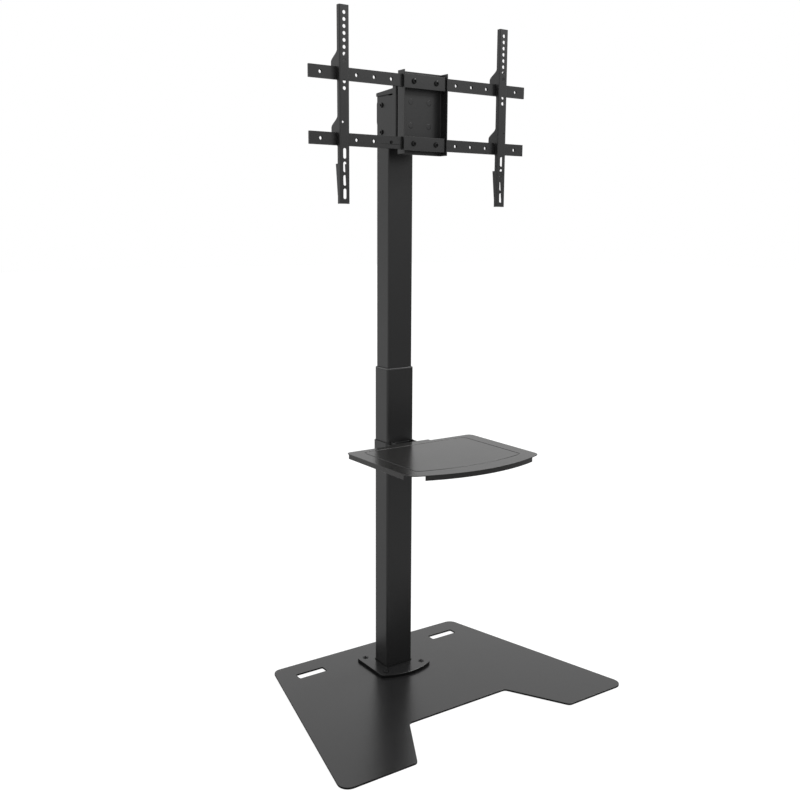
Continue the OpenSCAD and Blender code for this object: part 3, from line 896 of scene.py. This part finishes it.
def darken(piece: bpy.types.Object, finish: bpy.types.Material,
           chosen: Callable[[bpy.types.MeshPolygon], bool]) -> None:
    """Gives some faces of a piece a second, darker material, which paints shade on them.

    Args:
        piece: The finished piece.
        finish: Its second material, the painted shade.
        chosen: Tells which faces get it.
    """
    piece.data.materials.append(finish)
    for face in piece.data.polygons:
        if chosen(face):
            face.material_index = 1


def spread(node: str, across: float, level: int) -> list[Vector]:
    """Lists the middles of equal round pieces that fill a node's box.

    Args:
        node: Name of the node.
        across: Diameter of each piece.
        level: Index of the axis along which they aren't spread.

    Returns:
        The middles, each with the lower side of the box on that axis.
    """
    low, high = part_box(node)
    spots = [Vector(low)]
    for i in [i for i in range(3) if i != level]:
        ends = sorted({round(low[i] + across / 2, 6), round(high[i] - across / 2, 6)})
        row = []
        for spot in spots:
            for end in ends:
                moved = spot.copy()
                moved[i] = end
                row.append(moved)
        spots = row
    return spots


M6_SCREW = ButtonScrew(head_r=5.4 * MM, head_h=3.3 * MM, socket_r=2.3 * MM, shank_r=3.0 * MM, shank=13.0 * MM)
M8_SCREW = ButtonScrew(head_r=6.6 * MM, head_h=4.4 * MM, socket_r=2.9 * MM, shank_r=4.0 * MM, shank=3.7 * MM)


def hang(name: str, light: bpy.types.Light, place: Vector, way: Vector) -> None:
    """Puts a lamp into the scene.

    Args:
        name: Name of the lamp.
        light: Its light.
        place: Where it hangs.
        way: The way that it shines.
    """
    lamp = bpy.data.objects.new(name, light)
    bpy.context.scene.collection.objects.link(lamp)
    lamp.matrix_world = Matrix.Translation(place) @ way.to_track_quat("-Z", "Y").to_matrix().to_4x4()


@dataclass(frozen=True)
class SoftBox:
    """A soft square lamp.

    Attributes:
        name: Its name.
        place: Where it hangs.
        aim: What it points at.
        side: Its side in metres.
        power: Its power in watts.
    """

    name: str
    place: Triple
    aim: Triple
    side: float
    power: float

    def build(self) -> None:
        """Adds the lamp."""
        light = bpy.data.lights.new(self.name, "AREA")
        light.shape = "SQUARE"
        light.size = self.side
        light.energy = self.power
        hang(self.name, light, Vector(self.place), Vector(self.aim) - Vector(self.place))


@dataclass(frozen=True)
class DistantLamp:
    """A lamp so far away that its light is parallel.

    Attributes:
        name: Its name.
        heading: Where it stands, in degrees from the front towards +X.
        lift: Its height above the horizon, in degrees.
        softness: Its angular size in degrees.
        strength: Its irradiance.
        reach: How far off its object hangs, which the light doesn't depend on.
    """

    name: str
    heading: float
    lift: float
    softness: float
    strength: float
    reach: float = 6.0

    def build(self) -> None:
        """Adds the lamp."""
        light = bpy.data.lights.new(self.name, "SUN")
        light.angle = math.radians(self.softness)
        light.energy = self.strength
        turn, rise = math.radians(self.heading), math.radians(self.lift)
        away = Vector((math.sin(turn) * math.cos(rise), -math.cos(turn) * math.cos(rise), math.sin(rise)))
        hang(self.name, light, away * self.reach, -away)


KEY_LAMP = SoftBox("key", place=(1.3, -1.5, 2.65), aim=(0.0, 0.05, 1.5), side=0.5, power=9.6)
SIDE_LAMP = DistantLamp("side", heading=-110.0, lift=30.0, softness=12.0, strength=0.3)
RIM_LAMP = DistantLamp("rim", heading=95.0, lift=51.0, softness=20.0, strength=1.2)


def leaning(tree: bpy.types.NodeTree, place: bpy.types.NodeSocket, way: Triple, mid: float,
            low: float) -> bpy.types.NodeSocket:
    """Adds nodes that turn a place or direction into a brightness that leans one way.

    Args:
        tree: The tree that gets the nodes.
        place: The place or direction.
        way: How fast the brightness grows along X, Y and Z.
        mid: Brightness at zero.
        low: Least brightness; the most is 1.

    Returns:
        The brightness.
    """
    dot = tree.nodes.new("ShaderNodeVectorMath")
    dot.operation = "DOT_PRODUCT"
    dot.inputs[1].default_value = way
    tree.links.new(place, dot.inputs[0])
    total = calculate(tree, "ADD", dot.outputs["Value"], mid)
    total.node.use_clamp = True
    return calculate(tree, "MAXIMUM", total, low)


@dataclass(frozen=True)
class Floor:
    """The pale floor, which glows white to the camera and keeps the shadows.

    Attributes:
        size: Width of the floor.
        gap: How far it lies below the stand.
        tone: Brightness of its paint.
        roughness: Roughness of its paint.
        specular: Specular level of its paint.
        lean: How its brightness in reflections grows per metre along X, Y and Z.
        mid: Its brightness in reflections under the stand.
        low: Its least brightness in reflections.
        glow: Strength of its glow to the camera.
        glow_share: Share of the glow in what the camera sees; the rest is paint with shadows.
    """

    size: float = 50.0
    gap: float = 0.2 * MM
    tone: float = 0.9
    roughness: float = 0.9
    specular: float = 0.1
    lean: Triple = (-0.05, 0.06, 0.0)
    mid: float = 0.68
    low: float = 0.4
    glow: float = 1.25
    glow_share: float = 0.75

    def material(self) -> bpy.types.Material:
        """Builds its material.

        Returns:
            Paint, blended with a glow for the camera and for reflections.
        """
        material = bpy.data.materials.new("pale floor")
        material.use_nodes = True
        tree = material.node_tree
        nodes, links = tree.nodes, tree.links
        paint = nodes["Principled BSDF"]
        paint.inputs["Base Color"].default_value = (self.tone, self.tone, self.tone, 1)
        paint.inputs["Roughness"].default_value = self.roughness
        paint.inputs["Specular IOR Level"].default_value = self.specular
        path, place = nodes.new("ShaderNodeLightPath"), nodes.new("ShaderNodeTexCoord")
        camera, glossy = path.outputs["Is Camera Ray"], path.outputs["Is Glossy Ray"]
        sheen = leaning(tree, place.outputs["Object"], self.lean, self.mid, self.low)
        seen = calculate(tree, "MULTIPLY", camera, self.glow)
        reflected = calculate(tree, "MULTIPLY", glossy, sheen)
        glow = nodes.new("ShaderNodeEmission")
        links.new(calculate(tree, "MAXIMUM", seen, reflected), glow.inputs["Strength"])
        blend = nodes.new("ShaderNodeMixShader")
        links.new(calculate(tree, "MULTIPLY_ADD", camera, self.glow_share, glossy), blend.inputs["Fac"])
        links.new(paint.outputs[0], blend.inputs[1])
        links.new(glow.outputs[0], blend.inputs[2])
        links.new(blend.outputs[0], nodes["Material Output"].inputs["Surface"])
        return material

    def build(self) -> None:
        """Lays the floor."""
        bpy.ops.object.select_all(action="DESELECT")
        bpy.ops.mesh.primitive_plane_add(size=self.size, location=(0, 0, -self.gap))
        floor = bpy.context.active_object
        floor.name = "floor"
        settle(floor)
        floor.data.materials.append(self.material())


@dataclass(frozen=True)
class Studio:
    """Camera, lamps, world and floor.

    Attributes:
        camera_place: The camera, from the photograph's perspective.
        camera_turn: Turn about the vertical, lift and roll of the camera, in degrees.
        focal_px: Focal length in pixels of the photograph.
        sensor: Width of the camera's sensor, in its own millimetres.
        clip: Nearest and farthest distance that the camera sees.
        ambient: Least strength of the world's light, which every surface gets.
        sky_lean: How the world's brightness in reflections grows along X, Y and Z.
        sky_mid: Its brightness in reflections at the horizon.
        sky_low: Its least brightness in reflections.
        floor: The floor.
        lamps: The lamps.
    """

    camera_place: Triple = (-1.4546, -1.9739, 1.2532)
    camera_turn: Triple = (-34.5844, -10.3329, 0.251)
    focal_px: float = 949.32
    sensor: float = 36.0
    clip: tuple[float, float] = (0.05, 60.0)
    ambient: float = 0.4
    sky_lean: Triple = (-0.18, -0.12, 1.2)
    sky_mid: float = 0.75
    sky_low: float = 0.3
    floor: Floor = Floor()
    lamps: tuple[SoftBox | DistantLamp, ...] = (KEY_LAMP, SIDE_LAMP, RIM_LAMP)

    def camera(self) -> None:
        """Makes the camera."""
        data = bpy.data.cameras.new("photo camera")
        data.sensor_width = self.sensor
        data.lens = self.focal_px * self.sensor / PHOTO_SIDE
        data.clip_start, data.clip_end = self.clip
        camera = bpy.data.objects.new("photo camera", data)
        bpy.context.scene.collection.objects.link(camera)
        yaw, pitch, roll = (math.radians(angle) for angle in self.camera_turn)
        camera.matrix_world = (
            Matrix.Translation(Vector(self.camera_place)) @ Matrix.Rotation(yaw, 4, "Z")
            @ Matrix.Rotation(math.pi / 2 + pitch, 4, "X") @ Matrix.Rotation(roll, 4, "Z")
        )
        bpy.context.scene.camera = camera

    def world(self) -> None:
        """Makes a world that is white to the camera, a leaning white to reflections and plain to the rest."""
        world = bpy.data.worlds.new("studio")
        bpy.context.scene.world = world
        world.use_nodes = True
        tree = world.node_tree
        ground = tree.nodes["Background"]
        ground.inputs["Color"].default_value = (1, 1, 1, 1)
        path, place = tree.nodes.new("ShaderNodeLightPath"), tree.nodes.new("ShaderNodeTexCoord")
        seen = calculate(tree, "MAXIMUM", path.outputs["Is Camera Ray"], path.outputs["Is Transmission Ray"])
        backdrop = leaning(tree, place.outputs["Generated"], self.sky_lean, self.sky_mid, self.sky_low)
        reflected = calculate(tree, "MULTIPLY", path.outputs["Is Glossy Ray"], backdrop)
        either = calculate(tree, "MAXIMUM", seen, reflected)
        tree.links.new(calculate(tree, "MAXIMUM", either, self.ambient), ground.inputs["Strength"])

    def build(self) -> None:
        """Sets up the whole studio."""
        self.camera()
        self.world()
        self.floor.build()
        for lamp in self.lamps:
            lamp.build()
        bpy.context.scene.view_settings.view_transform = "Standard"


@dataclass(frozen=True)
class Stand:
    """The fixed body: base plate, pads, foot flange, lower column and their fasteners.

    Attributes:
        coats: The materials.
        column_r: Outer corner radius of the lower column.
        wall: Wall of the lower column.
        bush: Wall of the guide collar inside the column.
        lip_ease: Rounding of the guide collar's lip.
        side_normals: Least and most upward part of the normals of a plate's sides, which get painted shade.
        foot_bead: The weld round the column's foot.
        foot_screw: The screws of the foot flange.
        foot_ring: The washer round each of them.
        lock_screw: The screws that lock the height.
    """

    coats: Coats
    column_r: float = 8.0 * MM
    wall: float = 2.0 * MM
    bush: float = 1.7 * MM
    lip_ease: float = 1.4 * MM
    side_normals: tuple[float, float] = (-0.99, 0.3)
    foot_bead: WeldBead = WeldBead()
    foot_screw: ButtonScrew = M6_SCREW
    foot_ring: Washer = Washer(bore_r=5.5 * MM, outer_r=8.6 * MM, height=0.9 * MM)
    lock_screw: ButtonScrew = M8_SCREW

    def plates(self) -> None:
        """Makes the base plate, the foot flange and the pads."""
        dress({"base_plate": 0.45 * MM, "foot_flange": 1.0 * MM}, self.coats.base, segments=3)
        # The plates' sides and slot walls take the near-black coat as painted shade.
        least, most = self.side_normals
        for node in ("base_plate", "foot_flange"):
            piece = bpy.data.objects[f"{node}_finished"]
            darken(piece, self.coats.weld, lambda face: least < face.normal.z < most)
        dress({"floor_pads": 0.3 * MM}, self.coats.rubber)

    def column(self) -> None:
        """Makes the lower column and the weld round its foot."""
        tube = Tube(*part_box("lower_column"), self.column_r, self.wall)
        adopt(tube.model("lower_column_finished"), "lower_column", self.coats.column)
        weld = self.foot_bead.along("foot_weld", tube.outline(self.foot_bead.step))
        # The bead takes the near-black coat: its own dark colour plus painted shade at the column's foot.
        adopt(weld, "lower_column", self.coats.weld, hides=False)

    def collar(self) -> None:
        """Makes the guide collar: a lip on the column's mouth and a bush inside it."""
        low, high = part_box("guide_collar")
        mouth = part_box("lower_column")[1].z
        inset = Vector((self.wall, self.wall, 0))
        lip = Tube(Vector((low.x, low.y, mouth)), high, self.column_r, self.wall + self.bush, self.lip_ease)
        sleeve_top = Vector((high.x, high.y, mouth)) - inset
        sleeve = Tube(low + inset, sleeve_top, self.column_r - self.wall, self.bush)
        collar = joined("guide_collar_finished", [lip.model("lip"), sleeve.model("sleeve")])
        # The collar's lighter grey is a painted highlight.
        adopt(collar, "guide_collar", self.coats.lip)

    def screws(self) -> None:
        """Makes the foot screws, each on a ring, and the height lock screws."""
        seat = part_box("foot_flange")[1].z
        turns = self.foot_screw.fill("foot_screws", {Facing.UP: seat}, self.coats.screw)
        rings = copies_at(self.foot_ring.model(), "foot_screw_rings", turns)
        adopt(rings, "foot_screws", self.coats.screw, hides=False)
        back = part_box("lower_column")[1].y
        self.lock_screw.fill("height_lock_screws", {Facing.BACK: back}, self.coats.screw)

    def build(self) -> None:
        """Makes the stand's pieces."""
        self.plates()
        self.column()
        self.collar()
        self.screws()


@dataclass(frozen=True)
class Mast:
    """The sliding body: upper column, head and screen mount.

    Attributes:
        coats: The materials.
        column_r: Outer corner radius of the upper column.
        wall: Wall of the upper column.
        head_screw: The screws in the sides of the head.
        strap_bolt: The bolts that clamp the straps on the rails.
        nut: The nuts behind the frame.
        rail_edge: Width of a rail's border that has no holes.
        hole_normal: Most forward part of the normals of a hole's wall.
    """

    coats: Coats
    column_r: float = 4.6 * MM
    wall: float = 2.0 * MM
    head_screw: ButtonScrew = M8_SCREW.of_length(4.7 * MM)
    strap_bolt: ButtonScrew = M8_SCREW.of_length(32.0 * MM, thread=11.25 * MM)
    nut: HexNut = HexNut(corner_r=7.4 * MM, height=6.5 * MM, bore_r=3.9 * MM)
    rail_edge: float = 4.0 * MM
    hole_normal: float = 0.3

    def column(self) -> None:
        """Makes the upper column, its glide and its cap."""
        tube = Tube(*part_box("upper_column"), self.column_r, self.wall)
        adopt(tube.model("upper_column_finished"), "upper_column", self.coats.column)
        dress({"upper_glide": 0.4 * MM, "head_cap": 1.0 * MM}, self.coats.plastic, segments=3)

    def head(self) -> None:
        """Makes the bracket and the channel on the column, with their fasteners."""
        dress({"head_bracket": 0.5 * MM, "head_channel": 0.5 * MM}, self.coats.column)
        dress({"head_bolts": 0.15 * MM}, self.coats.mount)
        dress({"head_spacers": 0.3 * MM}, self.coats.zinc)
        low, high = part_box("head_bracket")
        seats = {Facing.LEFT: low.x, Facing.RIGHT: high.x}
        self.head_screw.fill("head_screws", seats, self.coats.screw)
        self.nuts("head_nuts")

    def nuts(self, node: str) -> None:
        """Makes the nuts of a node.

        Args:
            node: Name of the node.
        """
        low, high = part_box(node)
        across = 2 * self.nut.corner_r
        depth = self.nut.corner_r * math.sqrt(3)
        rows = (low.x + across / 2, high.x - across / 2)
        levels = (low.z + depth / 2, high.z - depth / 2)
        corner = Matrix.Rotation(math.pi / 6, 4, "Z")
        places = [seat_turn(Vector((x, low.y, z)), Facing.BACK) @ corner for x in rows for z in levels]
        adopt(copies_at(self.nut.model(), f"{node}_finished", places), node, self.coats.zinc)

    def darken_holes(self, node: str) -> None:
        """Paints shade on the walls of a rail's holes with the near-black weld coat.

        Args:
            node: Name of the rail's node.
        """
        low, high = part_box(node)
        margin = Vector.Fill(3, self.rail_edge)
        low, high = low + margin, high - margin

        def in_hole(face: bpy.types.MeshPolygon) -> bool:
            """Tells whether a face is part of a hole's wall.

            Args:
                face: The face.

            Returns:
                Whether it lies inside the border and doesn't look forwards or backwards.
            """
            middle = face.center
            inside = low.x < middle.x < high.x and low.z < middle.z < high.z
            return inside and abs(face.normal.y) < self.hole_normal

        darken(bpy.data.objects[f"{node}_finished"], self.coats.weld, in_hole)

    def mount(self) -> None:
        """Makes the frame, rails and straps, with their fasteners."""
        dress({"mount_frame": 0.5 * MM, "top_rail": 0.6 * MM, "bottom_rail": 0.6 * MM, "top_strap": 0.8 * MM,
               "bottom_strap": 0.8 * MM}, self.coats.mount)
        # The walls of the rails' holes get painted shade.
        for node in ("top_rail", "bottom_rail"):
            self.darken_holes(node)
        dress({"strap_spacers": 0.3 * MM}, self.coats.zinc)
        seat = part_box("top_strap")[0].y
        self.strap_bolt.fill("strap_bolts", {Facing.FRONT: seat}, self.coats.screw)
        self.nuts("strap_nuts")

    def build(self) -> None:
        """Makes the mast's pieces."""
        self.column()
        self.head()
        self.mount()


@dataclass(frozen=True)
class Shelf:
    """The shelf body.

    Attributes:
        coats: The materials.
        collar_r: Outer corner radius of the sliding collar.
        wall: Wall of the collar and of the arms.
        gauge_x: Distance of each arm's middle from the middle of the stand.
        bead: The welds between the collar and the arms.
        panel_screw: The screws under the panel.
        lock_screw: The screws that lock the collar.
    """

    coats: Coats
    collar_r: float = 11.3 * MM
    wall: float = 3.0 * MM
    gauge_x: float = 35.0 * MM
    bead: WeldBead = WeldBead(radius=2.0 * MM, step=1.4 * MM)
    panel_screw: ButtonScrew = M6_SCREW.of_length(4.2 * MM)
    lock_screw: ButtonScrew = M8_SCREW.of_length(3.0 * MM)

    def weld_feet(self, corner: Vector) -> list[tuple[Vector, float]]:
        """Lists the lower ends of the seams between the collar and the arms.

        Args:
            corner: Lower front corner of the collar's box.

        Returns:
            Each end with the way that its bead looks, in radians.
        """
        feet = []
        for side in Side:
            for way, look in ((-1, math.pi), (1, -math.pi / 2)):
                across = side.value * self.gauge_x + way * self.wall / 2
                feet.append((Vector((across, corner.y, corner.z + self.bead.radius)), look))
        return feet

    def carrier(self) -> None:
        """Makes the collar, the arms and the welds between them."""
        low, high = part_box("shelf_collar")
        collar = Tube(low, high, self.collar_r, self.wall, ease=0.4 * MM)
        adopt(collar.model("shelf_collar_finished"), "shelf_collar", self.coats.column)
        dress({"shelf_arms": 0.4 * MM}, self.coats.column)
        height = high.z - low.z - 2 * self.bead.radius
        welds = self.bead.upright("shelf_arm_welds", self.weld_feet(low), height)
        adopt(welds, "shelf_arms", self.coats.weld, hides=False)

    def panel(self) -> None:
        """Makes the panel, its screws and the collar's lock screws."""
        dress({"shelf_panel": 0.5 * MM}, self.coats.shelf, segments=3)
        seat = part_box("shelf_screws")[0].z + self.panel_screw.head_h
        self.panel_screw.fill("shelf_screws", {Facing.DOWN: seat}, self.coats.screw)
        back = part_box("shelf_collar")[1].y
        self.lock_screw.fill("shelf_lock_screws", {Facing.BACK: back}, self.coats.screw)

    def build(self) -> None:
        """Makes the shelf's pieces."""
        self.carrier()
        self.panel()


@dataclass(frozen=True)
class ScreenArm:
    """One hook-on arm.

    Attributes:
        side: The side that it stands on.
        coats: The materials.
        ease: Width of its eased edges.
    """

    side: Side
    coats: Coats
    ease: float = 0.45 * MM

    def build(self) -> None:
        """Makes the arm."""
        dress({f"{self.side.name.lower()}_arm": self.ease}, self.coats.mount)


def main() -> None:
    """Builds the studio and every sub-assembly."""
    logging.basicConfig(level=logging.INFO, format="%(name)s: %(message)s")
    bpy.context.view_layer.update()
    bpy.ops.object.select_all(action="DESELECT")
    Studio().build()
    coats = Coats.build()
    Stand(coats).build()
    Mast(coats).build()
    Shelf(coats).build()
    for side in Side:
        ScreenArm(side, coats).build()


if __name__ == "__main__":
    main()
